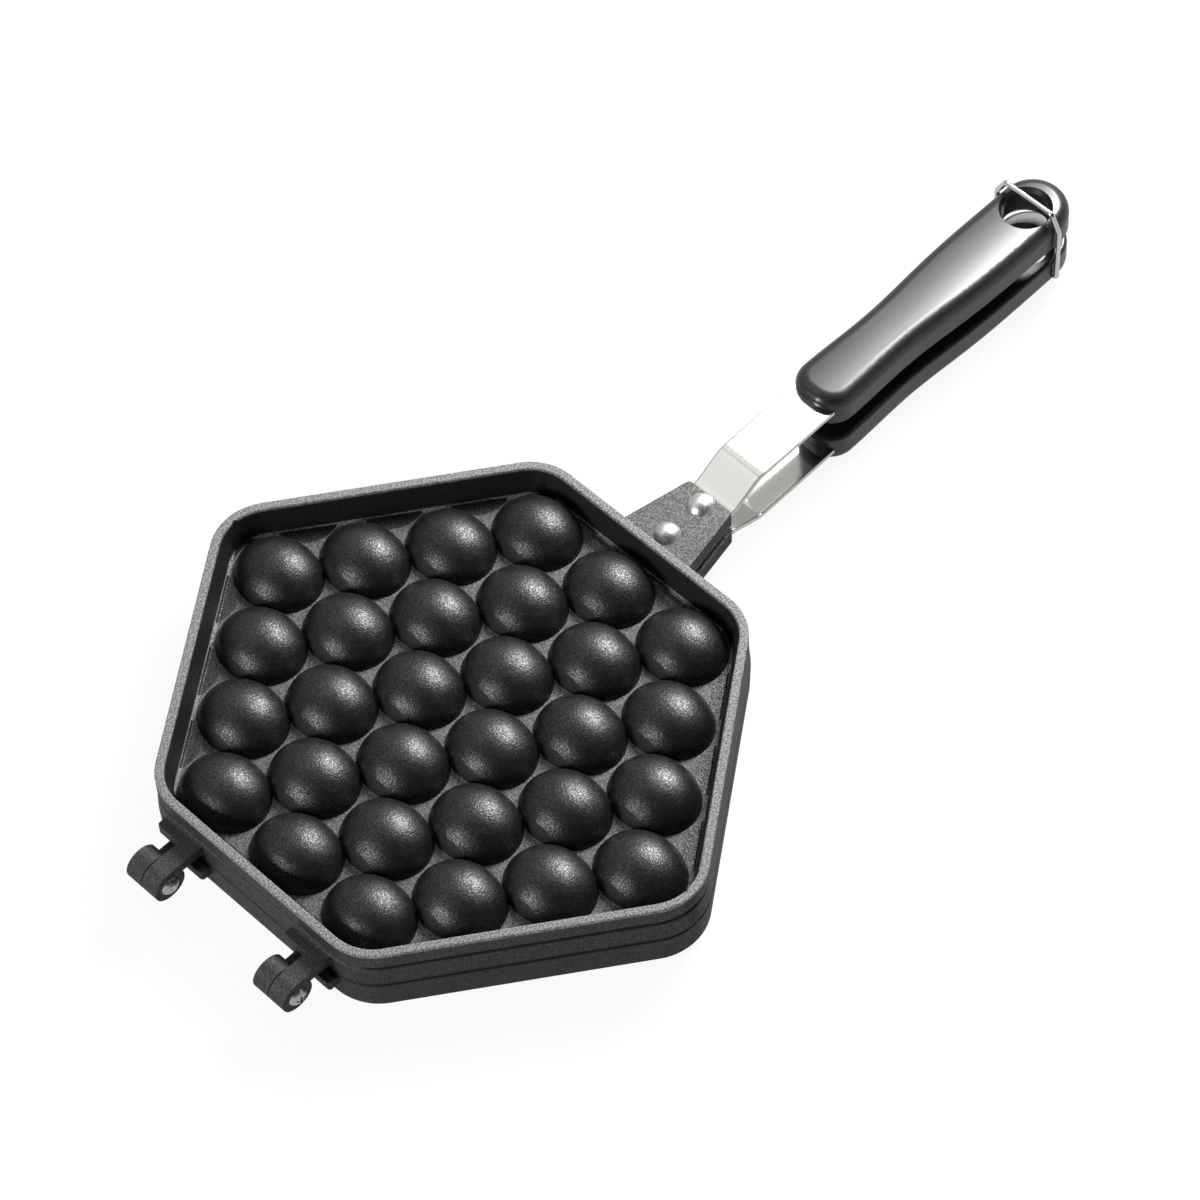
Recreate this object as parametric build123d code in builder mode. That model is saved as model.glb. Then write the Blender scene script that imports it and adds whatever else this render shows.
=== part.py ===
from build123d import *
import os
from math import atan2, cos, hypot, radians, sin, tan

# Egg waffle pan: two cast halves with thirty oval cups each, hinged on one side, with a
# strap handle and a moulded grip on each half and a wire bail that holds the grips shut.
# Millimetres. The pieces are drawn from the middle of the cup field on the plane where the
# halves meet, and are placed at the end so that the origin is the middle of the footprint,
# on the surface that the pan stands on. +X runs from the hinges to the grips, +Z is up.

# ---- Cup field ---------------------------------------------------------------------------
cup_pitch = 34.0  # between neighbours in one row, across the handle
row_step = 23.85  # between rows, along the handle
cups_in_row = (3, 4, 5, 6, 5, 4, 3)
dome_half_x = 14.8  # a cup's outside at the mating plane
dome_half_y = 16.9
dome_height = 14.4
cup_wall = 2.6

# ---- Outline of the castings -------------------------------------------------------------
flat_reach = 91.3  # centre to the rim's outer edge on the hinge and handle sides
slant_reach = 91.9  # centre to the rim's outer edge on the four slanting sides
slant_angle = 54.3  # direction of a slanting side, seen from +X
corner_radius = 20.0

# ---- Section of the castings -------------------------------------------------------------
half_depth = 15.0  # mating plane to rim
rim_width = 3.0
rim_edge_radius = 0.5
floor_height = 3.2  # mating plane to the outside of the web between the cups
web_thickness = 2.0
web_root = 0.6  # how far the web reaches into the wall
wall_draft = 2.5  # how far the wall's inside leans in from rim to floor
floor_bevel = 0.8
mating_gap = 0.2  # between the lands of the closed halves
skirt_flare = 0.45  # how far the skirt stands out past the rim at the seam
seam_bevel = 0.4
groove_top = 8.6  # shadow groove round the upper half, heights above the mating plane
groove_bottom = 6.2
groove_depth = 0.9
lip_depth = 1.7  # the upper half's lip reaches this far below the mating plane
lip_width = 2.2
lip_clearance = 0.3
lower_edge_bevel = 1.4  # along the edge that the pan stands on

# ---- Hinges ------------------------------------------------------------------------------
hinge_reach = 106.5  # centre to the hinge axis
hinge_spread = 60.0  # between the two hinges
knuckle_radius = 6.3
knuckle_width = 6.8
knuckle_gap = 0.4
lug_bottom = 2.3
lug_foot_width = 17.0
lug_foot_reach = 4.6
lug_edge_radius = 1.2
lug_root = 1.5  # how far lugs and tab reach into the wall
pin_radius = 2.5
pin_clearance = 0.05
pin_head_radius = 3.6
pin_head_height = 1.9
pin_tail_radius = 3.2
pin_tail_height = 1.4
pin_side_gap = 0.1
pin_cross_length = 3.6
pin_cross_width = 0.8
pin_cross_depth = 0.8

# ---- Handle tabs and rivets --------------------------------------------------------------
tab_reach = 120.6  # centre to the tab's end
tab_top = 8.1
tab_bottom = 2.0
tab_width = 20.2  # at the tab's end
tab_root_width = 32.4  # where it leaves the wall
tab_plate = 2.2
tab_side_wall = 2.0
tab_corner_radius = 1.6
tab_channel_start = 95.5
rivet_places = (99.4, 115.8)
rivet_radius = 2.2
rivet_clearance = 0.05
rivet_head_radius = 4.8
rivet_head_height = 2.9
rivet_tail_radius = 3.6
rivet_tail_height = 1.3

# ---- Handle straps -----------------------------------------------------------------------
strap_thickness = 1.8
strap_width = 18.2
strap_fit = 0.2
strap_bend_start = 122.4
strap_bend_end = 135.0
strap_bend_radius = 9.0
strap_tongue = 42.0  # length inside the grip
strap_tongue_width = 15.0
strap_inset = 4.4  # the full width goes this far into the grip's mouth
strap_overlap = 1.0  # between the strap's three widths
upper_strap_height = 12.4
lower_strap_height = 9.3

# ---- Grips -------------------------------------------------------------------------------
grip_start = 168.1
grip_length = 126.5
grip_thickness = 13.2
grip_near_width = 22.8
grip_waist_width = 21.2
grip_waist_place = 40.0  # from the grip's near end
grip_shoulder_width = 24.4
grip_shoulder_place = 68.0
grip_tip_width = 25.6
grip_near_radius = 9.8
grip_crown_radius = 110.0  # of the outer side, across the grip
grip_outer_radius = 5.0
grip_inner_radius = 1.6  # along the flat side that faces the other grip
upper_grip_near = 13.3  # heights of the upper grip's middle above the mating plane
upper_grip_tip = 14.8
lower_grip_near = 8.1  # the same below the mating plane, so this grip clears the ground
lower_grip_tip = 4.8
hang_hole_place = 110.1  # from the grip's near end
hang_hole_radius = 8.4
hang_mouth_depth = 2.2
hang_mouth_flare = 1.2  # wider than the hole at the surface
screw_place = 24.0  # from the grip's near end
screw_radius = 1.75
screw_clearance = 0.05
screw_head_radius = 3.4
screw_engagement = 3.0  # past the strap
screw_sink = 0.1
screw_end_gap = 0.3
screw_slot_width = 0.9
screw_slot_depth = 1.0
COUNTERSINK_HALF_ANGLE = 41.0  # degrees, of the countersunk hole
slot_fit = 0.15

# ---- Wire bail ---------------------------------------------------------------------------
wire_radius = 1.0
wire_clearance = 0.08
bail_place = 111.4  # from the grips' near end
bail_pivot_drop = 1.2  # from the middle of the lower grip outwards
bail_top_gap = 0.3  # over the upper grip's tip as it swings
bail_side_gap = 0.5
bail_top_width = 21.2
bail_shoulder_drop = 7.0
bail_bend_radius = 1.4
bail_pivot_depth = 3.0
wire_end_gap = 0.3

# ---- Worked out --------------------------------------------------------------------------
recess_height = floor_height - web_thickness
wall_foot = -rim_width - wall_draft  # the wall's inside at the web, from the rim's outer edge
tab_inside = tab_top - tab_plate
strap_seat = tab_inside - strap_thickness / 2

row_middle = (len(cups_in_row) - 1) / 2
cup_centres = []
for row, cups in enumerate(cups_in_row):
    for cup in range(cups):
        cup_centres.append(((row - row_middle) * row_step, (cup - (cups - 1) / 2) * cup_pitch))


def pan_outline(height, offset):
    """The six-sided outline of the pan at a height, moved outwards by offset."""
    flat = flat_reach + offset
    slant = slant_reach + offset
    lean = radians(slant_angle)
    side_y = (slant - flat * cos(lean)) / sin(lean)
    point_y = slant / sin(lean)
    with BuildSketch(Plane.XY.offset(height)) as outline:
        with BuildLine():
            Polyline(
                (flat, side_y),
                (0, point_y),
                (-flat, side_y),
                (-flat, -side_y),
                (0, -point_y),
                (flat, -side_y),
                close=True,
            )
        make_face()
        fillet(outline.vertices(), corner_radius + offset)
    return outline.sketch


def stacked(sections):
    """A solid through pan outlines given as (height, offset) from the bottom up."""
    return loft([pan_outline(height, offset) for height, offset in sections], ruled=True)


def ellipsoid(half_x, half_y, half_z):
    """One cup form, centred on the mating plane."""
    with BuildPart() as form:
        Sphere(1.0)
        scale(by=(half_x, half_y, half_z))
    return form.part


def hinge_lug(arm_start):
    """A wide foot on the wall and an arm that ends in a knuckle; the arm fills the foot's -Y end."""
    foot_middle = -(flat_reach + lug_foot_reach / 2) + lug_root / 2
    arm_middle = -(hinge_reach + flat_reach - lug_root) / 2
    with BuildPart() as lug:
        with BuildSketch(Plane.XY.offset(lug_bottom)):
            with Locations((foot_middle, arm_start + lug_foot_width / 2)):
                Rectangle(lug_foot_reach + lug_root, lug_foot_width)
        extrude(amount=knuckle_radius - lug_bottom)
        fillet(lug.edges().filter_by(Axis.Z).group_by(Axis.X)[0], lug_edge_radius)
        # Arm and knuckle, seen along the hinge axis.
        with BuildSketch(Plane.XZ.offset(-arm_start)):
            with Locations((-hinge_reach, 0)):
                Circle(knuckle_radius)
            with Locations((arm_middle, (lug_bottom + knuckle_radius) / 2)):
                Rectangle(hinge_reach - flat_reach + lug_root, knuckle_radius - lug_bottom)
            with Locations((-hinge_reach, 0)):
                Circle(pin_radius + pin_clearance, mode=Mode.SUBTRACT)
        extrude(amount=-knuckle_width)
    return lug.part


def handle_tab():
    """The cast tab: a plate that narrows outwards, with two side walls under it."""
    root = flat_reach - lug_root
    channel_width = tab_width - 2 * tab_side_wall
    with BuildPart() as tab:
        with BuildSketch(Plane.XY.offset(tab_bottom)):
            Polygon(
                (root, -tab_root_width / 2),
                (tab_reach, -tab_width / 2),
                (tab_reach, tab_width / 2),
                (root, tab_root_width / 2),
                align=None,
            )
        extrude(amount=tab_top - tab_bottom)
        fillet(tab.edges().filter_by(Axis.Z).group_by(Axis.X)[-1], tab_corner_radius)
        fillet(tab.faces().sort_by(Axis.Z)[-1].edges().sort_by(Axis.X)[1:], rim_edge_radius)
        # Channel for the strap.
        with BuildSketch(Plane.XY.offset(tab_bottom)):
            with Locations(((tab_channel_start + tab_reach) / 2 + tab_side_wall, 0)):
                Rectangle(tab_reach - tab_channel_start + 2 * tab_side_wall, channel_width)
        extrude(amount=tab_inside - tab_bottom, mode=Mode.SUBTRACT)
        with Locations(*[(place, 0, tab_top) for place in rivet_places]):
            Hole(rivet_radius + rivet_clearance)
    return tab.part


def cup_field():
    """The web with the thirty oval cups: domes on the outside, hollows on the mating side."""
    dome = ellipsoid(dome_half_x, dome_half_y, dome_height)
    cup = ellipsoid(dome_half_x - cup_wall, dome_half_y - cup_wall, dome_height - cup_wall)
    web_edge = wall_foot - floor_bevel + web_root
    with BuildPart() as field:
        add(stacked(((recess_height, web_edge), (floor_height, web_edge))))
        with Locations(*cup_centres):
            add(dome)
        with Locations(*cup_centres):
            add(cup, mode=Mode.SUBTRACT)
        split(bisect_by=Plane.XY.offset(recess_height), keep=Keep.TOP)
    return field.part


def casting(outer_sections, land_sections, land_mode):
    """A cast half with its rim up: wall, web with cups, hinge lugs and handle tab."""
    with BuildPart() as half:
        add(stacked(outer_sections))
        for hinge_y in (-hinge_spread / 2, hinge_spread / 2):
            add(hinge_lug(hinge_y - knuckle_gap / 2 - knuckle_width))
        add(handle_tab())
        # Lip or land along the seam.
        add(stacked(land_sections), mode=land_mode)
        # The space inside the wall, with a bevel where wall and web meet.
        inside_sections = (
            (-lip_depth, wall_foot - floor_bevel),
            (floor_height, wall_foot - floor_bevel),
            (floor_height + floor_bevel, wall_foot),
            (half_depth, -rim_width),
        )
        add(stacked(inside_sections), mode=Mode.SUBTRACT)
        fillet(half.edges().group_by(Axis.Z)[-1], rim_edge_radius)
        add(cups)
    return half.part


# ---- Castings ----------------------------------------------------------------------------
cups = cup_field()
groove_middle = (groove_bottom + groove_top) / 2
upper_outer_sections = (
    (-lip_depth, skirt_flare - seam_bevel),
    (-lip_depth + seam_bevel, skirt_flare),
    (groove_bottom, 0),
    (groove_middle - groove_depth / 2, -groove_depth),
    (groove_middle + groove_depth / 2, -groove_depth),
    (groove_top, 0),
    (half_depth, 0),
)
# The space inside the lip, up to the land that meets the lower half.
upper_land_sections = ((-lip_depth, -lip_width), (mating_gap / 2, -lip_width))
with BuildPart() as upper_plate:
    add(casting(upper_outer_sections, upper_land_sections, Mode.SUBTRACT))

lower_seam = lip_depth + mating_gap
lower_outer_sections = (
    (lower_seam, skirt_flare - seam_bevel),
    (lower_seam + seam_bevel, skirt_flare),
    (half_depth - lower_edge_bevel, 0),
    (half_depth, -lower_edge_bevel / 2),
)
# The land that stands up inside the upper half's lip.
lower_land = -lip_width - lip_clearance
lower_land_sections = ((mating_gap / 2, lower_land), (lower_seam, lower_land))
with BuildPart() as lower_plate:
    add(casting(lower_outer_sections, lower_land_sections, Mode.ADD), rotation=(180, 0, 0))


def grip_plane(near_height, tip_height):
    """The middle plane of a grip, from its near end along its own length."""
    rise = atan2(tip_height - near_height, grip_length)
    return Plane(
        origin=(grip_start, 0, near_height),
        x_dir=(cos(rise), 0, sin(rise)),
        z_dir=(-sin(rise), 0, cos(rise)),
    )


def strap(level_height, near_height, tip_height):
    """A polished strip: flat in the tab, bent outwards, then straight into the grip."""
    tongue_end = grip_plane(near_height, tip_height).from_local_coords((strap_tongue, 0, 0))
    shoulder = tab_reach + strap_fit
    neck = grip_start + strap_inset - strap_fit
    with BuildPart() as strip:
        with BuildSketch(Plane.XZ):
            with BuildLine() as run:
                FilletPolyline(
                    (tab_channel_start + strap_fit, strap_seat),
                    (strap_bend_start, strap_seat),
                    (strap_bend_end, level_height),
                    (grip_start, near_height),
                    (tongue_end.X, tongue_end.Z),
                    radius=strap_bend_radius,
                )
            trace(run.line, strap_thickness)
        extrude(amount=strap_width / 2, both=True)
        # Narrower ends: one lies in the tab's channel, the other in the grip.
        with BuildSketch(Plane.XY):
            for start, end, width in (
                (tab_channel_start, shoulder + strap_overlap, tab_width - 2 * (tab_side_wall + strap_fit)),
                (shoulder, neck, strap_width),
                (neck - strap_overlap, grip_start + strap_tongue + strap_overlap, strap_tongue_width),
            ):
                with Locations(((start + end) / 2, 0)):
                    Rectangle(end - start, width)
        extrude(amount=2 * half_depth, mode=Mode.INTERSECT)
        with Locations(*[(place, 0, tab_inside) for place in rivet_places]):
            Hole(rivet_radius + rivet_clearance, depth=2 * strap_thickness)
        with Locations(grip_plane(near_height, tip_height) * Location((screw_place, 0, strap_thickness))):
            Hole(screw_radius + screw_clearance, depth=3 * strap_thickness)
    return strip.part


def grip(near_height, tip_height):
    """A moulded grip: waisted outline, crowned outer side, hanging hole and slot for the strap."""
    middle = grip_plane(near_height, tip_height)
    near_half = grip_near_width / 2
    tip_half = grip_tip_width / 2
    tip_centre = grip_length - tip_half
    with BuildPart() as body:
        # Outline with a waist, a round tip and rounded near corners.
        with BuildSketch(middle):
            with BuildLine():
                for side in (1, -1):
                    TangentArc(
                        (0, side * (near_half - grip_near_radius)),
                        (grip_near_radius, side * near_half),
                        tangent=(0, side),
                    )
                    Spline(
                        (grip_near_radius, side * near_half),
                        (grip_waist_place, side * grip_waist_width / 2),
                        (grip_shoulder_place, side * grip_shoulder_width / 2),
                        (tip_centre, side * tip_half),
                        tangents=((1, 0), (1, 0)),
                    )
                Line((0, near_half - grip_near_radius), (0, grip_near_radius - near_half))
                ThreePointArc((tip_centre, tip_half), (grip_length, 0), (tip_centre, -tip_half))
            make_face()
        extrude(amount=grip_thickness / 2, both=True)
        # The outer side is crowned across its width; the inner side stays flat.
        with BuildSketch(Plane(origin=middle.origin, x_dir=(0, 1, 0), z_dir=middle.x_dir)):
            with Locations((0, grip_thickness / 2 - grip_crown_radius)):
                Circle(grip_crown_radius)
        extrude(amount=grip_length, mode=Mode.INTERSECT)
        inner_side = body.faces().filter_by(Axis(middle.origin, middle.z_dir))
        fillet(inner_side.edges(), grip_inner_radius)
        crown = body.faces().filter_by(GeomType.CYLINDER).sort_by(SortBy.AREA)[-1]
        fillet(crown.edges(), grip_outer_radius)
        # Hanging hole with a flared mouth on both sides.
        hole_middle = middle.from_local_coords((hang_hole_place, 0, 0))
        neck = grip_thickness / 2 - hang_mouth_depth
        beyond = grip_thickness / 2 + hang_mouth_depth
        with BuildSketch(Plane(origin=hole_middle, x_dir=middle.x_dir, z_dir=(0, -1, 0))):
            Polygon(
                (0, -beyond),
                (hang_hole_radius + 2 * hang_mouth_flare, -beyond),
                (hang_hole_radius, -neck),
                (hang_hole_radius, neck),
                (hang_hole_radius + 2 * hang_mouth_flare, beyond),
                (0, beyond),
                align=None,
            )
        revolve(axis=Axis(hole_middle, middle.z_dir), mode=Mode.SUBTRACT)
        # Slot for the strap's tongue, wider at the grip's mouth.
        with BuildSketch(middle.offset(-strap_thickness / 2 - slot_fit)):
            for end, width in ((strap_inset, strap_width), (strap_tongue + slot_fit, strap_tongue_width)):
                with Locations(((end - strap_overlap) / 2, 0)):
                    Rectangle(end + strap_overlap, width + 2 * slot_fit)
        extrude(amount=strap_thickness + 2 * slot_fit, mode=Mode.SUBTRACT)
        # Screw hole from the side that faces the other grip.
        screw_side = Plane(
            origin=middle.from_local_coords((screw_place, 0, -grip_thickness / 2)),
            x_dir=middle.x_dir,
            z_dir=-middle.z_dir,
        )
        with Locations(screw_side):
            CounterSinkHole(
                screw_radius + screw_clearance,
                screw_head_radius,
                depth=grip_thickness / 2 + strap_thickness / 2 + screw_engagement,
            )
    return body.part


def rivet(place):
    """A solid rivet: domed head on the tab, formed-over tail under the strap."""
    strap_under = tab_inside - strap_thickness
    head_top = (0, tab_top + rivet_head_height)
    with BuildPart() as fastener:
        with BuildSketch(Plane(origin=(place, 0, 0), x_dir=(1, 0, 0), z_dir=(0, -1, 0))):
            with BuildLine():
                TangentArc(head_top, (rivet_head_radius, tab_top), tangent=(1, 0))
                Polyline(
                    (rivet_head_radius, tab_top),
                    (rivet_radius, tab_top),
                    (rivet_radius, strap_under),
                    (rivet_tail_radius, strap_under),
                )
                tail_rim = (rivet_tail_radius, strap_under)
                TangentArc((0, strap_under - rivet_tail_height), tail_rim, tangent=(1, 0))
                Line((0, strap_under - rivet_tail_height), head_top)
            make_face()
        revolve(axis=Axis((place, 0, 0), (0, 0, 1)))
    return fastener.part


def hinge_pin(hinge_y, head_cross):
    """A hinge pin: domed head on the -Y side of its two knuckles, smaller formed head on the other."""
    reach = knuckle_width + knuckle_gap / 2 + pin_side_gap
    head_start = hinge_y - reach
    tail_start = hinge_y + reach
    with BuildPart() as pin:
        with BuildSketch(Plane(origin=(-hinge_reach, 0, 0))):
            with BuildLine():
                TangentArc(
                    (0, head_start - pin_head_height), (pin_head_radius, head_start), tangent=(1, 0)
                )
                Polyline(
                    (pin_head_radius, head_start),
                    (pin_radius, head_start),
                    (pin_radius, tail_start),
                    (pin_tail_radius, tail_start),
                )
                TangentArc(
                    (0, tail_start + pin_tail_height), (pin_tail_radius, tail_start), tangent=(1, 0)
                )
                Line((0, tail_start + pin_tail_height), (0, head_start - pin_head_height))
            make_face()
        revolve(axis=Axis((-hinge_reach, 0, 0), (0, 1, 0)))
        if head_cross:
            with BuildSketch(Plane(origin=(-hinge_reach, head_start - pin_head_height, 0), z_dir=(0, 1, 0))):
                Rectangle(pin_cross_length, pin_cross_width)
                Rectangle(pin_cross_width, pin_cross_length)
            extrude(amount=pin_cross_depth, mode=Mode.SUBTRACT)
    return pin.part


def grip_screw(near_height, tip_height):
    """A countersunk screw with one slot, through the strap's tongue and into the grip."""
    middle = grip_plane(near_height, tip_height)
    seat = middle.from_local_coords((screw_place, 0, -grip_thickness / 2))
    length = grip_thickness / 2 + strap_thickness / 2 + screw_engagement - screw_end_gap
    head_edge = screw_head_radius - screw_sink
    head_depth = (head_edge - screw_radius) / tan(radians(COUNTERSINK_HALF_ANGLE))
    with BuildPart() as fastener:
        with BuildSketch(Plane(origin=seat, x_dir=middle.x_dir, z_dir=(0, -1, 0))):
            with BuildLine():
                Polyline(
                    (0, screw_sink),
                    (head_edge, screw_sink),
                    (screw_radius, screw_sink + head_depth),
                    (screw_radius, length),
                    (0, length),
                    close=True,
                )
            make_face()
        revolve(axis=Axis(seat, middle.z_dir))
        with BuildSketch(Plane(origin=seat, x_dir=middle.x_dir, z_dir=middle.z_dir)):
            Rectangle(2 * screw_head_radius, screw_slot_width)
        extrude(amount=screw_slot_depth, mode=Mode.SUBTRACT)
    return fastener.part


# ---- Handles of the upper half -----------------------------------------------------------
with BuildPart() as upper_strap:
    add(strap(upper_strap_height, upper_grip_near, upper_grip_tip))
with BuildPart() as upper_grip:
    add(grip(upper_grip_near, upper_grip_tip))
with BuildPart() as upper_grip_screw:
    add(grip_screw(upper_grip_near, upper_grip_tip))

# ---- Handles of the lower half, turned over ----------------------------------------------
bail_seat = grip_plane(lower_grip_near, lower_grip_tip).from_local_coords((bail_place, 0, 0))
pivot_x = bail_seat.X
pivot_z = -bail_seat.Z - bail_pivot_drop
grip_flank = grip_tip_width / 2
leg_y = grip_flank + bail_side_gap + wire_radius
with BuildPart() as lower_strap:
    add(strap(lower_strap_height, lower_grip_near, lower_grip_tip), rotation=(180, 0, 0))
with BuildPart() as lower_grip:
    add(grip(lower_grip_near, lower_grip_tip), rotation=(180, 0, 0))
    # A blind bore in each flank for the ends of the bail.
    for side in (1, -1):
        with BuildSketch(Plane(origin=(pivot_x, side * leg_y, pivot_z), z_dir=(0, -side, 0))):
            Circle(wire_radius + wire_clearance)
        bore_end = grip_flank - bail_pivot_depth - wire_end_gap
        extrude(amount=leg_y - bore_end, mode=Mode.SUBTRACT)
with BuildPart() as lower_grip_screw:
    add(grip_screw(lower_grip_near, lower_grip_tip), rotation=(180, 0, 0))

# ---- Wire bail ---------------------------------------------------------------------------
# It is long enough to swing over the tip of the upper grip.
tip_edge = grip_plane(upper_grip_near, upper_grip_tip).from_local_coords(
    (grip_length - grip_outer_radius, 0, grip_thickness / 2 - grip_outer_radius)
)
tip_distance = hypot(tip_edge.X - pivot_x, tip_edge.Z - pivot_z)
bail_top = pivot_z + tip_distance + grip_outer_radius + bail_top_gap + wire_radius
with BuildPart() as bail:
    with BuildLine(Plane.YZ.offset(pivot_x)) as bail_line:
        FilletPolyline(
            (-grip_flank + bail_pivot_depth, pivot_z),
            (-leg_y, pivot_z),
            (-leg_y, bail_top - bail_shoulder_drop),
            (-bail_top_width / 2, bail_top),
            (bail_top_width / 2, bail_top),
            (leg_y, bail_top - bail_shoulder_drop),
            (leg_y, pivot_z),
            (grip_flank - bail_pivot_depth, pivot_z),
            radius=bail_bend_radius,
        )
    with BuildSketch(Plane(origin=bail_line.line @ 0, z_dir=bail_line.line % 0)):
        Circle(wire_radius)
    sweep(path=bail_line.line)

# ---- Files -------------------------------------------------------------------------------
pieces = {
    "upper_plate": upper_plate,
    "upper_strap": upper_strap,
    "upper_grip": upper_grip,
    "upper_grip_screw": upper_grip_screw,
    "lower_plate": lower_plate,
    "lower_strap": lower_strap,
    "lower_grip": lower_grip,
    "lower_grip_screw": lower_grip_screw,
    "bail": bail,
}
with BuildPart() as pieces["hinge_pin_right"]:
    add(hinge_pin(-hinge_spread / 2, True))
with BuildPart() as pieces["hinge_pin_left"]:
    add(hinge_pin(hinge_spread / 2, False))
for name, place in zip(("inner", "outer"), rivet_places):
    with BuildPart() as pieces["upper_rivet_" + name]:
        add(rivet(place))
    with BuildPart() as pieces["lower_rivet_" + name]:
        add(rivet(place), rotation=(180, 0, 0))

# The origin of the finished pan: the middle of its footprint, level with the lower rim.
grip_end = upper_grip.part.bounding_box().max.X
footprint_middle = (grip_end - hinge_reach - knuckle_radius) / 2
os.makedirs("parts", exist_ok=True)
for name, piece in pieces.items():
    with BuildPart(Location((-footprint_middle, 0, half_depth))) as placed:
        add(piece.part)
    placed.part.label = name
    export_step(placed.part, "parts/" + name + ".step")
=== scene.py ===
import math

import bpy
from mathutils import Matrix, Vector

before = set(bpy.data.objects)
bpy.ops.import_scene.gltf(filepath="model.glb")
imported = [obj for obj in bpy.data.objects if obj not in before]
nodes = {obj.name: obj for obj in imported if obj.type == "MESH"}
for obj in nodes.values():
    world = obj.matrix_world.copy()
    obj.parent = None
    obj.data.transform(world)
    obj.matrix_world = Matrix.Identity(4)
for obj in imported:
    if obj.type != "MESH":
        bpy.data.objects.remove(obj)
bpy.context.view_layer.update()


# ---- Camera ------------------------------------------------------------------------------
# The photograph looks down on the pan from the hinge side, through a long lens, with the
# handle pointing away to the upper right.
camera_data = bpy.data.cameras.new("camera")
camera_data.sensor_width = 36.0
camera_data.lens = 147.65
camera_data.clip_end = 30.0
camera = bpy.data.objects.new("camera", camera_data)
camera.location = (-0.661195, -0.70082, 1.35731)
camera.rotation_euler = (0.614557, 0.036489, -0.789741)
bpy.context.scene.collection.objects.link(camera)
bpy.context.scene.camera = camera


# ---- The two castings --------------------------------------------------------------------
# Each half is one aluminium casting, blasted and then sprayed inside and out with a black
# non-stick coating. The coating is grainy, and smoother and darker on the thirty domes, whose
# crests are rubbed to a sheen. Its level faces are painted lighter, as painted light from above.
PAN_CENTRE_X = -0.0909253
MATING_HEIGHT = 0.015  # of the plane where the halves meet, above the table
CUP_ROWS = 7
CUP_ROW_STEP = 0.02385
CUP_PITCH = 0.034
DOME_HALF_X = 0.0148
DOME_HALF_Y = 0.0169
FLAT_REACH = 0.0913  # centre to the rim's outer edge on the hinge and handle sides
SLANT_REACH = 0.0919  # centre to the rim's outer edge on the four slanting sides
SLANT_ANGLE = math.radians(54.3)
WALL_FOOT = 0.0056  # outline to the foot of the wall's inside
GROOVE_HEIGHT = 0.0074  # mating plane to the groove's middle
GROOVE_HALF_WIDTH = 0.0012
SEAM_HEIGHT = -0.0018  # mating plane to the middle of the seam's shade
SEAM_HALF_WIDTH = 0.0014
CREVICE_EDGE = 0.0006  # over which the shade of the groove or the seam fades out
WELD_DISTANCE = 0.000002
SMOOTH_ANGLE = math.radians(28)

SIDE_SHADED_BLACK_BELOW = (0.019, 0.0187, 0.0175, 1)
SIDE_BLACK_ABOVE = (0.026, 0.0255, 0.0235, 1)
LEVEL_LIT_GREY = (0.092, 0.092, 0.089, 1)
LUG_BLACK = (0.03, 0.03, 0.029, 1)
INNER_WALL_SHADE_BLACK = (0.0075, 0.0072, 0.0065, 1)
WEAR_AND_HIGHLIGHT_GREY = (0.17, 0.17, 0.165, 1)
JUNCTION_HIGHLIGHT_GREY = (0.2, 0.2, 0.195, 1)
CREVICE_SHADE_BLACK = (0.003, 0.003, 0.003, 1)
DOME_BLACK = (0.0035, 0.0035, 0.0035, 1)
DOME_SPECKLE = (0.0065, 0.0065, 0.006, 1)
GRAIN_DARK = (0.42, 0.42, 0.42, 1)
GRAIN_LIGHT = (1.7, 1.7, 1.7, 1)


def feed(node, inputs):
    """Gives a node's sockets, by name or number, a value or the output that drives them."""
    for name, value in inputs.items():
        if isinstance(value, bpy.types.NodeSocket):
            node.id_data.links.new(value, node.inputs[name])
        else:
            node.inputs[name].default_value = value


def put(tree, kind, inputs=(), **settings):
    """Adds a node with its settings and inputs."""
    node = tree.nodes.new(kind)
    for name, value in settings.items():
        setattr(node, name, value)
    feed(node, dict(inputs))
    return node


def calc(tree, operation, *values):
    """The result of one Math node."""
    return put(tree, "ShaderNodeMath", dict(enumerate(values)), operation=operation).outputs[0]


def ramp(tree, value, low, high, start=0.0, end=1.0):
    """A smooth step from start to end as value goes from low to high."""
    node = put(
        tree,
        "ShaderNodeMapRange",
        {"Value": value, "From Min": low, "From Max": high, "To Min": start, "To Max": end},
        interpolation_type="SMOOTHSTEP",
    )
    return node.outputs["Result"]


def band(tree, value, middle, half_width, edge):
    """A mask that is 1 around middle and fades to 0 over the edge of its half width."""
    away = calc(tree, "ABSOLUTE", calc(tree, "SUBTRACT", value, middle))
    return ramp(tree, away, half_width, half_width - edge)


def overlap(tree, first, *others):
    """The product of masks: 1 where all of them are."""
    for mask in others:
        first = calc(tree, "MULTIPLY", first, mask)
    return first


def tint(tree, factor, first, second):
    """A colour between two colours."""
    node = put(tree, "ShaderNodeMix", {0: factor, 6: first, 7: second}, data_type="RGBA")
    return node.outputs[2]


def blend(tree, factor, first, second):
    """A number between two numbers."""
    node = put(tree, "ShaderNodeMix", {0: factor, 2: first, 3: second}, data_type="FLOAT")
    return node.outputs[0]


def noise(tree, vector, scale, detail, roughness):
    """The value of a noise texture."""
    node = put(
        tree,
        "ShaderNodeTexNoise",
        {"Vector": vector, "Scale": scale, "Detail": detail, "Roughness": roughness},
    )
    return node.outputs["Fac"]


def in_cup(tree, place_in_cups, step, half_width):
    """The way from a cup's middle as a share of its half width, from a place counted in cups."""
    from_middle = calc(tree, "SUBTRACT", calc(tree, "FRACT", place_in_cups), 0.5)
    return calc(tree, "MULTIPLY", from_middle, step / half_width)


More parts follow.
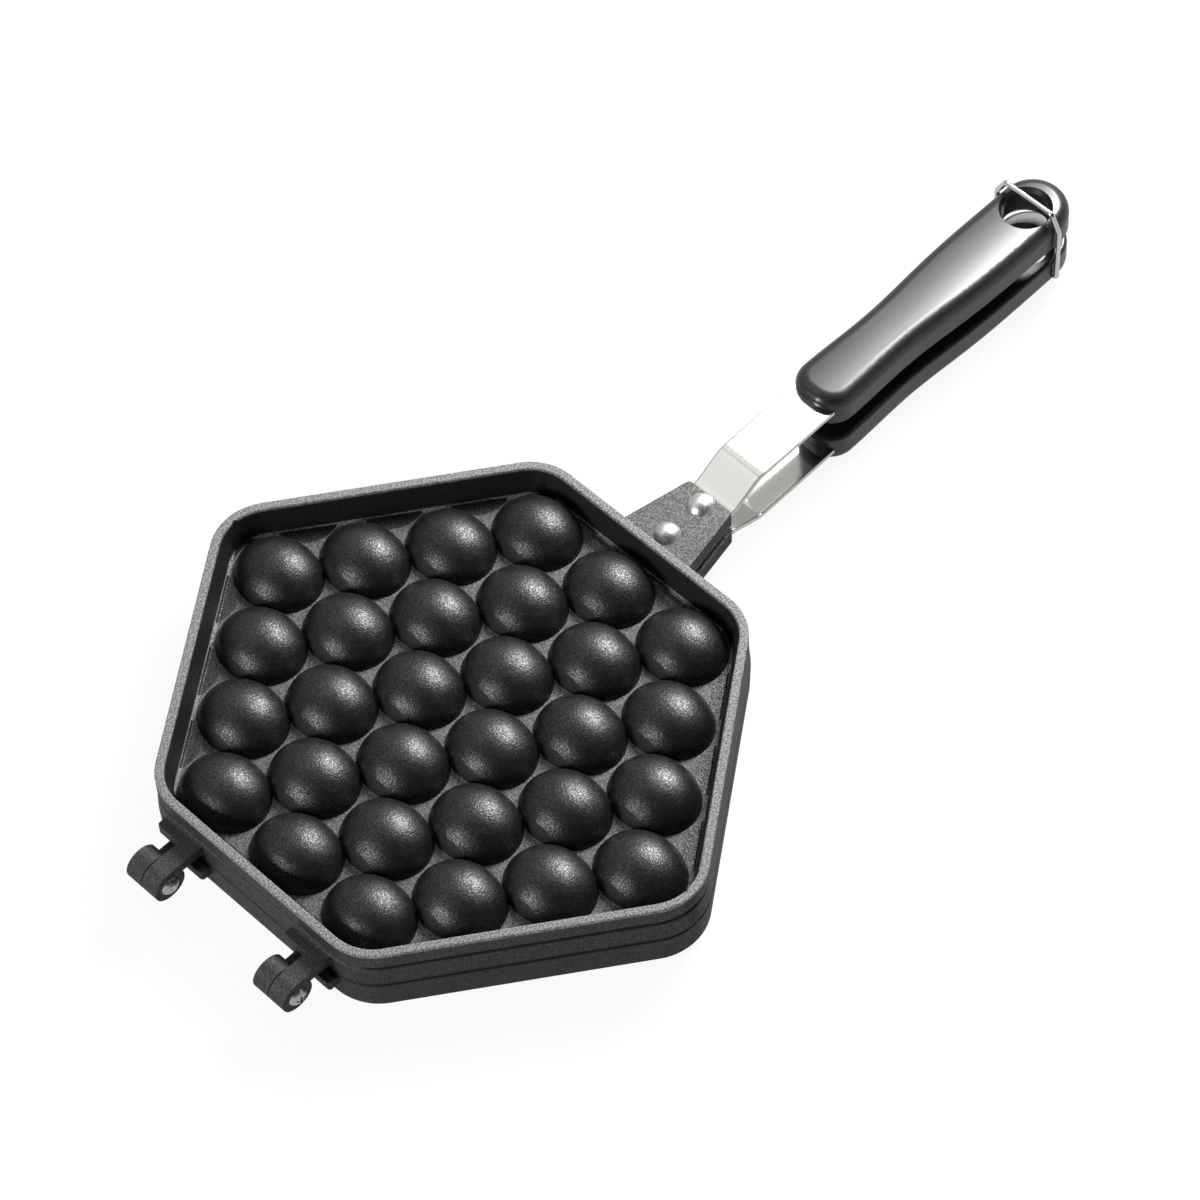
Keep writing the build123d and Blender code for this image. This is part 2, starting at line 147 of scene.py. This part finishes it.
def relief(tree, inputs):
    """The normal that a Bump node makes."""
    return put(tree, "ShaderNodeBump", inputs).outputs["Normal"]


def new_group(name, inputs, outputs):
    """A shader node group with float or vector inputs and outputs."""
    tree = bpy.data.node_groups.new(name, "ShaderNodeTree")
    for socket, kind in inputs.items():
        tree.interface.new_socket(socket, in_out="INPUT", socket_type="NodeSocket" + kind)
    for socket, kind in outputs.items():
        tree.interface.new_socket(socket, in_out="OUTPUT", socket_type="NodeSocket" + kind)
    return tree, tree.nodes.new("NodeGroupInput").outputs, tree.nodes.new("NodeGroupOutput")


def use_group(tree, group, inputs):
    """Places a node group in a material and returns its outputs."""
    return put(tree, "ShaderNodeGroup", inputs, node_tree=group).outputs


def new_material(name):
    """A material with its node tree, its Principled shader and its texture coordinates."""
    material = bpy.data.materials.new(name)
    material.use_nodes = True
    tree = material.node_tree
    return material, tree, tree.nodes["Principled BSDF"], tree.nodes.new("ShaderNodeTexCoord").outputs


def dress(material, *node_names):
    """Gives CAD nodes their material and smooth shading across their gentle angles."""
    for node_name in node_names:
        piece = nodes[node_name]
        piece.data.materials.clear()
        piece.data.materials.append(material)
        for polygon in piece.data.polygons:
            polygon.use_smooth = True
        weld = piece.modifiers.new("weld", "WELD")
        weld.merge_threshold = WELD_DISTANCE
        split = piece.modifiers.new("split", "EDGE_SPLIT")
        split.split_angle = SMOOTH_ANGLE
        piece.modifiers.new("normals", "WEIGHTED_NORMAL")


# Cast grain: fine grains and their coarser clumping, as a mask each and as one height.
grain_group, given, result = new_group(
    "cast grain",
    {"Vector": "Vector", "Grain Scale": "Float", "Clump Scale": "Float"},
    {"Speckle": "Float", "Clump": "Float", "Height": "Float"},
)
fine = noise(grain_group, given["Vector"], given["Grain Scale"], 3.0, 0.62)
clump = noise(grain_group, given["Vector"], given["Clump Scale"], 2.0, 0.5)
feed(
    result,
    {
        "Speckle": ramp(grain_group, fine, 0.36, 0.68),
        "Clump": ramp(grain_group, clump, 0.3, 0.7),
        "Height": calc(grain_group, "MULTIPLY_ADD", clump, 0.6, fine),
    },
)

# Cup field: Dome is 1 on the domes and in the cups; Wall is the way inwards from the outline,
# in metres, and is negative outside it.
cup_group, given, result = new_group(
    "cup field", {"Vector": "Vector"}, {"Dome": "Float", "Wall": "Float"}
)
place = put(cup_group, "ShaderNodeSeparateXYZ", {"Vector": given["Vector"]}).outputs
from_centre = calc(cup_group, "SUBTRACT", place["X"], PAN_CENTRE_X)
# Every other row is shifted by half a pitch, so that its cups lie between its neighbours'.
row_place = calc(cup_group, "MULTIPLY_ADD", from_centre, 1 / CUP_ROW_STEP, CUP_ROWS / 2)
row_shift = calc(cup_group, "MODULO", calc(cup_group, "FLOOR", row_place), 2.0)
cup_place = calc(cup_group, "MULTIPLY_ADD", place["Y"], 1 / CUP_PITCH, 0.5)
cup_place = calc(cup_group, "MULTIPLY_ADD", row_shift, 0.5, cup_place)
cup_x = in_cup(cup_group, row_place, CUP_ROW_STEP, DOME_HALF_X)
cup_y = in_cup(cup_group, cup_place, CUP_PITCH, DOME_HALF_Y)
from_cup = calc(cup_group, "MULTIPLY_ADD", cup_x, cup_x, calc(cup_group, "MULTIPLY", cup_y, cup_y))
on_dome = ramp(cup_group, from_cup, 0.975, 0.945)
reach_x = calc(cup_group, "ABSOLUTE", from_centre)
reach_y = calc(cup_group, "ABSOLUTE", place["Y"])
past_flat = calc(cup_group, "SUBTRACT", reach_x, FLAT_REACH)
past_slant = calc(cup_group, "MULTIPLY_ADD", reach_x, math.cos(SLANT_ANGLE), -SLANT_REACH)
past_slant = calc(cup_group, "MULTIPLY_ADD", reach_y, math.sin(SLANT_ANGLE), past_slant)
past_outline = calc(cup_group, "MAXIMUM", past_slant, past_flat)
inside = calc(cup_group, "LESS_THAN", past_outline, -WALL_FOOT)
feed(
    result,
    {
        "Dome": overlap(cup_group, on_dome, inside),
        "Wall": calc(cup_group, "MULTIPLY", past_outline, -1.0),
    },
)

# Edge rounding: Edge goes to 1 as a rounded edge turns away from its face, and Normal rounds it.
edge_group, given, result = new_group(
    "edge rounding", {"Radius": "Float"}, {"Edge": "Float", "Normal": "Vector"}
)
bevel = put(edge_group, "ShaderNodeBevel", {"Radius": given["Radius"]}, samples=4)
rounded = bevel.outputs["Normal"]
flat = put(edge_group, "ShaderNodeNewGeometry").outputs["Normal"]
agree = put(edge_group, "ShaderNodeVectorMath", {0: rounded, 1: flat}, operation="DOT_PRODUCT")
feed(result, {"Edge": ramp(edge_group, agree.outputs["Value"], 0.995, 0.8), "Normal": rounded})

coating, tree, shader, coordinates = new_material("non-stick coating")
grain = use_group(
    tree, grain_group, {"Vector": coordinates["Object"], "Grain Scale": 1500.0, "Clump Scale": 420.0}
)
field = use_group(tree, cup_group, {"Vector": coordinates["Object"]})
rounding = use_group(tree, edge_group, {"Radius": 0.0005})
facing = put(tree, "ShaderNodeSeparateXYZ", {"Vector": coordinates["Normal"]}).outputs["Z"]
place = put(tree, "ShaderNodeSeparateXYZ", {"Vector": coordinates["Object"]}).outputs
height = calc(tree, "SUBTRACT", place["Z"], MATING_HEIGHT)
from_mating = calc(tree, "ABSOLUTE", height)
inwards = field["Wall"]

# Masks: level faces, the wall's inside, the rim's top, and the wall's foot beside the web.
level = ramp(tree, calc(tree, "ABSOLUTE", facing), 0.7, 0.97)
steep = calc(tree, "SUBTRACT", 1.0, level)
# Painted shade: the steep inside of the wall is darkened.
inner_wall = overlap(tree, ramp(tree, inwards, 0.002, 0.0026), steep)
# The rim's top is lighter, partly from wear and partly as a painted highlight where it catches the
# lamps.
rim = overlap(tree, ramp(tree, inwards, -0.0012, -0.0004), ramp(tree, from_mating, 0.0138, 0.0144))
# Painted highlight: a thin light line along the wall's foot beside the web, where its rounding catches
# the light.
junction = overlap(
    tree,
    ramp(tree, inwards, WALL_FOOT - 0.0004, WALL_FOOT - 0.0001),
    ramp(tree, inwards, WALL_FOOT + 0.0010, WALL_FOOT + 0.0005),
    ramp(tree, from_mating, 0.0050, 0.0043),
)
# Painted shade in the upper half's shadow groove and in the seam under its lip, on the walls' outside
# only.
groove = band(tree, height, GROOVE_HEIGHT, GROOVE_HALF_WIDTH, CREVICE_EDGE)
seam = band(tree, height, SEAM_HEIGHT, SEAM_HALF_WIDTH, CREVICE_EDGE)
outer_wall = overlap(tree, ramp(tree, inwards, -0.0022, -0.0014), ramp(tree, inwards, 0.0024, 0.0018))
crevice = overlap(tree, calc(tree, "MAXIMUM", groove, seam), outer_wall)
hinge_side = PAN_CENTRE_X - FLAT_REACH
lugs = ramp(tree, place["X"], hinge_side, hinge_side - 0.002)

# Painted shade: the sides below the mating plane are darker, where less light falls on the lower half.
side_colour = tint(tree, ramp(tree, height, -0.003, 0.0), SIDE_SHADED_BLACK_BELOW, SIDE_BLACK_ABOVE)
# Painted light: level faces are lighter than steep ones, as if lit from above; on the hinge lugs they
# stay dark.
wall_colour = tint(tree, level, side_colour, tint(tree, lugs, LEVEL_LIT_GREY, LUG_BLACK))
for mask, coat in ((inner_wall, INNER_WALL_SHADE_BLACK), (rim, WEAR_AND_HIGHLIGHT_GREY), (junction, JUNCTION_HIGHLIGHT_GREY)):
    wall_colour = tint(tree, mask, wall_colour, coat)
grains = tint(tree, grain["Speckle"], GRAIN_DARK, GRAIN_LIGHT)
grainy = put(
    tree, "ShaderNodeMix", {0: 1.0, 6: wall_colour, 7: grains}, data_type="RGBA", blend_type="MULTIPLY"
)
# Painted highlight, with some wear: the rounded edges are lightened as if they caught the light.
edges = calc(tree, "MULTIPLY", rounding["Edge"], 0.4)
wall_colour = tint(tree, edges, grainy.outputs[2], WEAR_AND_HIGHLIGHT_GREY)
wall_colour = tint(tree, crevice, wall_colour, CREVICE_SHADE_BLACK)
dome_colour = tint(tree, grain["Speckle"], DOME_BLACK, DOME_SPECKLE)

uneven = calc(tree, "MULTIPLY", grain["Clump"], 0.06)
dome_roughness = calc(tree, "MULTIPLY_ADD", grain["Speckle"], -0.1, calc(tree, "ADD", uneven, 0.41))
wall_roughness = calc(tree, "MULTIPLY_ADD", grain["Speckle"], -0.12, calc(tree, "ADD", uneven, 0.6))
dome_gloss = calc(tree, "MULTIPLY_ADD", grain["Speckle"], 0.5, 0.3)
grain_relief = {
    "Height": grain["Height"],
    "Strength": 0.6,
    "Distance": 0.00022,
    "Normal": rounding["Normal"],
}
feed(
    shader,
    {
        "Base Color": tint(tree, field["Dome"], wall_colour, dome_colour),
        "Roughness": blend(tree, field["Dome"], wall_roughness, dome_roughness),
        "Specular IOR Level": blend(tree, field["Dome"], 0.35, dome_gloss),
        "Normal": relief(tree, grain_relief),
    },
)
dress(coating, "lower_plate", "upper_plate")


# ---- Hinge pins --------------------------------------------------------------------------
# Two turned steel pins hold the knuckles together. Their heads are domed and bright; the
# right one has a cross-shaped recess.
PIN_DARK = (0.42, 0.42, 0.41, 1)
PIN_LIGHT = (0.78, 0.78, 0.77, 1)

pin_steel, tree, shader, coordinates = new_material("turned steel")
scuffs = noise(tree, coordinates["Object"], 900.0, 3.0, 0.6)
feed(
    shader,
    {
        "Base Color": tint(tree, ramp(tree, scuffs, 0.35, 0.7), PIN_DARK, PIN_LIGHT),
        "Roughness": ramp(tree, scuffs, 0.3, 0.7, 0.2, 0.38),
        "Normal": relief(tree, {"Height": scuffs, "Strength": 0.1, "Distance": 0.00008}),
        "Metallic": 1.0,
    },
)
dress(pin_steel, "hinge_pin_right", "hinge_pin_left")


# ---- Straps ------------------------------------------------------------------------------
# Each handle starts as a strip of stainless steel, bent outwards past the tab. Polishing has
# rounded its edges a little and left faint lines along its length. The edges are painted dark,
# a painted reflection of the darker room they face.
STRAP_LINE = (0.76, 0.75, 0.73, 1)
STRAP_BRIGHT = (0.82, 0.81, 0.79, 1)
STRAP_EDGE_PAINTED_DARK = (0.07, 0.07, 0.067, 1)


def streaks(tree, vector, scales):
    """A noise drawn out along one axis, by a scale for each axis."""
    stretched = put(tree, "ShaderNodeMapping", {"Vector": vector, "Scale": scales})
    return noise(tree, stretched.outputs["Vector"], 1.0, 4.0, 0.7)


strap_steel, tree, shader, coordinates = new_material("polished strip")
lines = streaks(tree, coordinates["Object"], (6.0, 900.0, 300.0))
waves = noise(tree, coordinates["Object"], 45.0, 1.0, 0.4)
rounding = use_group(tree, edge_group, {"Radius": 0.0008})
polish = tint(tree, ramp(tree, lines, 0.3, 0.7), STRAP_LINE, STRAP_BRIGHT)
strap_relief = {
    "Height": calc(tree, "MULTIPLY_ADD", waves, 12.0, lines),
    "Strength": 0.04,
    "Distance": 0.00005,
    "Normal": rounding["Normal"],
}
feed(
    shader,
    {
        "Base Color": tint(tree, rounding["Edge"], polish, STRAP_EDGE_PAINTED_DARK),
        "Roughness": ramp(tree, lines, 0.3, 0.7, 0.09, 0.14),
        "Normal": relief(tree, strap_relief),
        "Metallic": 1.0,
    },
)
dress(strap_steel, "lower_strap", "upper_strap")


# ---- Rivets ------------------------------------------------------------------------------
# Two solid aluminium rivets fix each strap in its tab. Their heads are set with a cupped
# tool, which leaves them smooth and satin bright.
RIVET_DARK = (0.70, 0.70, 0.69, 1)
RIVET_LIGHT = (0.86, 0.86, 0.85, 1)

rivet_metal, tree, shader, coordinates = new_material("rivet aluminium")
dents = noise(tree, coordinates["Object"], 320.0, 2.0, 0.5)
scuffs = noise(tree, coordinates["Object"], 1400.0, 3.0, 0.6)
rivet_height = calc(tree, "MULTIPLY_ADD", dents, 2.0, scuffs)
feed(
    shader,
    {
        "Base Color": tint(tree, ramp(tree, scuffs, 0.35, 0.7), RIVET_DARK, RIVET_LIGHT),
        "Roughness": ramp(tree, scuffs, 0.3, 0.7, 0.32, 0.42),
        "Normal": relief(tree, {"Height": rivet_height, "Strength": 0.06, "Distance": 0.0001}),
        "Metallic": 1.0,
    },
)
dress(rivet_metal, "lower_rivet_inner", "lower_rivet_outer", "upper_rivet_inner", "upper_rivet_outer")


# ---- Grips -------------------------------------------------------------------------------
# The grips are moulded from black heat-proof plastic with a soft gloss. Their surface is
# slightly wavy from the mould and has fine rub marks along its length.
GRIP_BLACK = (0.008, 0.008, 0.0085, 1)
GRIP_RUBBED = (0.016, 0.016, 0.016, 1)

grip_plastic, tree, shader, coordinates = new_material("moulded grip plastic")
rubbing = streaks(tree, coordinates["Object"], (40.0, 1500.0, 900.0))
mould = noise(tree, coordinates["Object"], 90.0, 1.0, 0.4)
feed(
    shader,
    {
        "Base Color": tint(tree, rubbing, GRIP_BLACK, GRIP_RUBBED),
        "Roughness": ramp(tree, rubbing, 0.3, 0.72, 0.33, 0.38),
        "Normal": relief(tree, {"Height": mould, "Strength": 0.06, "Distance": 0.0002}),
        "Specular IOR Level": 0.45,
        "Coat Weight": 0.25,
        "Coat Roughness": 0.2,
    },
)
dress(grip_plastic, "lower_grip", "upper_grip")


# ---- Grip screws -------------------------------------------------------------------------
# A countersunk zinc-plated screw with one slot holds each grip on the end of its strap.
ZINC_DARK = (0.36, 0.37, 0.38, 1)
ZINC_LIGHT = (0.62, 0.63, 0.63, 1)

screw_steel, tree, shader, coordinates = new_material("zinc-plated screw")
plating = noise(tree, coordinates["Object"], 1100.0, 3.0, 0.6)
feed(
    shader,
    {
        "Base Color": tint(tree, plating, ZINC_DARK, ZINC_LIGHT),
        "Roughness": ramp(tree, plating, 0.3, 0.7, 0.3, 0.48),
        "Metallic": 1.0,
    },
)
dress(screw_steel, "lower_grip_screw", "upper_grip_screw")


# ---- Bail --------------------------------------------------------------------------------
# A bent length of bright drawn wire, whose ends turn in the flanks of the lower grip, goes
# over the upper grip and holds the two together.
WIRE_DARK = (0.62, 0.62, 0.61, 1)
WIRE_LIGHT = (0.84, 0.84, 0.83, 1)

wire_steel, tree, shader, coordinates = new_material("drawn wire")
drawing = noise(tree, coordinates["Object"], 1300.0, 3.0, 0.6)
feed(
    shader,
    {
        "Base Color": tint(tree, drawing, WIRE_DARK, WIRE_LIGHT),
        "Roughness": ramp(tree, drawing, 0.3, 0.7, 0.12, 0.24),
        "Metallic": 1.0,
    },
)
dress(wire_steel, "bail")


# ---- Studio ------------------------------------------------------------------------------
# A white table under a soft key lamp beyond the grips, with weaker lamps over the handle, low
# behind the hinges and at the camera's left. The room is grey at eye level and dark overhead
# in front, and a white card hangs high behind the pan.
TABLE_SIZE = 12.0
TABLE_DROP = 0.0003  # below the pan's lower rim
TABLE_WHITE = (0.8, 0.8, 0.8, 1)
TABLE_BACKLIGHT = 0.92  # share of the table's look that glows
GLOSSY_DIMMING = 0.45  # of that glow in reflections
ROOM_BACK = (0.34, 0.94, 0.0)
ROOM_GREY = (0.5, 0.5, 0.5, 1)
CEILING_DARK = (0.05, 0.05, 0.05, 1)
CEILING_LIT = (0.40, 0.395, 0.38, 1)
CARD_DIRECTION = (0.384, 0.426, 0.819)
CARD_WHITE = (0.95, 0.95, 0.95, 1)
PURE_WHITE = (1, 1, 1, 1)
ROOM_FILL = 0.22


def showing(tree, rays):
    """1 for rays that show what they meet: in view, in a reflection or through a piece."""
    shown = calc(tree, "MAXIMUM", rays["Is Camera Ray"], rays["Is Glossy Ray"])
    return calc(tree, "MAXIMUM", shown, rays["Is Transmission Ray"])


def towards(tree, direction, target):
    """How far a direction points towards a target: their dot product."""
    node = put(tree, "ShaderNodeVectorMath", {0: direction, 1: target}, operation="DOT_PRODUCT")
    return node.outputs["Value"]


bpy.ops.object.select_all(action="DESELECT")
bpy.ops.mesh.primitive_plane_add(size=TABLE_SIZE, location=(0, 0, -TABLE_DROP))
floor = bpy.context.object
floor.name = "floor"
table_white, tree, shader, _ = new_material("table white")
feed(shader, {"Base Color": TABLE_WHITE, "Roughness": 0.9, "Specular IOR Level": 0.0})
rays = tree.nodes.new("ShaderNodeLightPath").outputs
seen = showing(tree, rays)
strength = calc(tree, "MULTIPLY_ADD", rays["Is Glossy Ray"], -GLOSSY_DIMMING, 1.0)
glow = put(tree, "ShaderNodeEmission", {"Color": PURE_WHITE, "Strength": strength})
backlit = put(
    tree, "ShaderNodeMixShader", {0: TABLE_BACKLIGHT, 1: shader.outputs[0], 2: glow.outputs[0]}
)
both = put(tree, "ShaderNodeMixShader", {0: seen, 1: shader.outputs[0], 2: backlit.outputs[0]})
feed(tree.nodes["Material Output"], {"Surface": both.outputs[0]})
floor.data.materials.append(table_white)

world = bpy.data.worlds.new("studio")
bpy.context.scene.world = world
world.use_nodes = True
tree = world.node_tree
tree.nodes.clear()
direction = tree.nodes.new("ShaderNodeTexCoord").outputs["Generated"]
upward = put(tree, "ShaderNodeSeparateXYZ", {0: direction}).outputs["Z"]
backward = towards(tree, direction, ROOM_BACK)
to_card = towards(tree, direction, CARD_DIRECTION)
overhead = tint(tree, ramp(tree, backward, -0.3, 0.6), CEILING_DARK, CEILING_LIT)
overhead = tint(tree, ramp(tree, to_card, 0.86, 0.96), overhead, CARD_WHITE)
room = tint(tree, ramp(tree, upward, 0.03, 0.3), ROOM_GREY, overhead)
seen = showing(tree, tree.nodes.new("ShaderNodeLightPath").outputs)
sight = put(tree, "ShaderNodeBackground", {"Color": room, "Strength": 1.0})
fill = put(tree, "ShaderNodeBackground", {"Color": PURE_WHITE, "Strength": ROOM_FILL})
both = put(tree, "ShaderNodeMixShader", {0: seen, 1: fill.outputs[0], 2: sight.outputs[0]})
put(tree, "ShaderNodeOutputWorld", {"Surface": both.outputs[0]})

pan_middle = Vector((PAN_CENTRE_X, 0, 0.025))
handle_middle = Vector((0.14, 0, 0.03))


def lamp(name, target, azimuth, elevation, distance, size, power):
    """A square soft lamp that faces its target from a direction given in degrees."""
    data = bpy.data.lights.new(name, "AREA")
    data.size = size
    data.energy = power
    light = bpy.data.objects.new(name, data)
    turn, rise = math.radians(azimuth), math.radians(elevation)
    level_reach = math.cos(rise)
    outwards = Vector((math.cos(turn) * level_reach, math.sin(turn) * level_reach, math.sin(rise)))
    light.location = target + outwards * distance
    light.rotation_euler = outwards.to_track_quat("Z", "Y").to_euler()
    bpy.context.scene.collection.objects.link(light)


lamp("key", pan_middle, azimuth=8, elevation=42, distance=0.95, size=0.34, power=17.0)
lamp("handle softbox", handle_middle, azimuth=46, elevation=58, distance=0.85, size=0.15, power=0.26)
lamp("hinge side", pan_middle, azimuth=172, elevation=24, distance=0.9, size=0.2, power=5.0)
lamp("left side", handle_middle, azimuth=136, elevation=53, distance=0.9, size=0.4, power=0.35)

scene = bpy.context.scene
scene.view_settings.view_transform = "Standard"
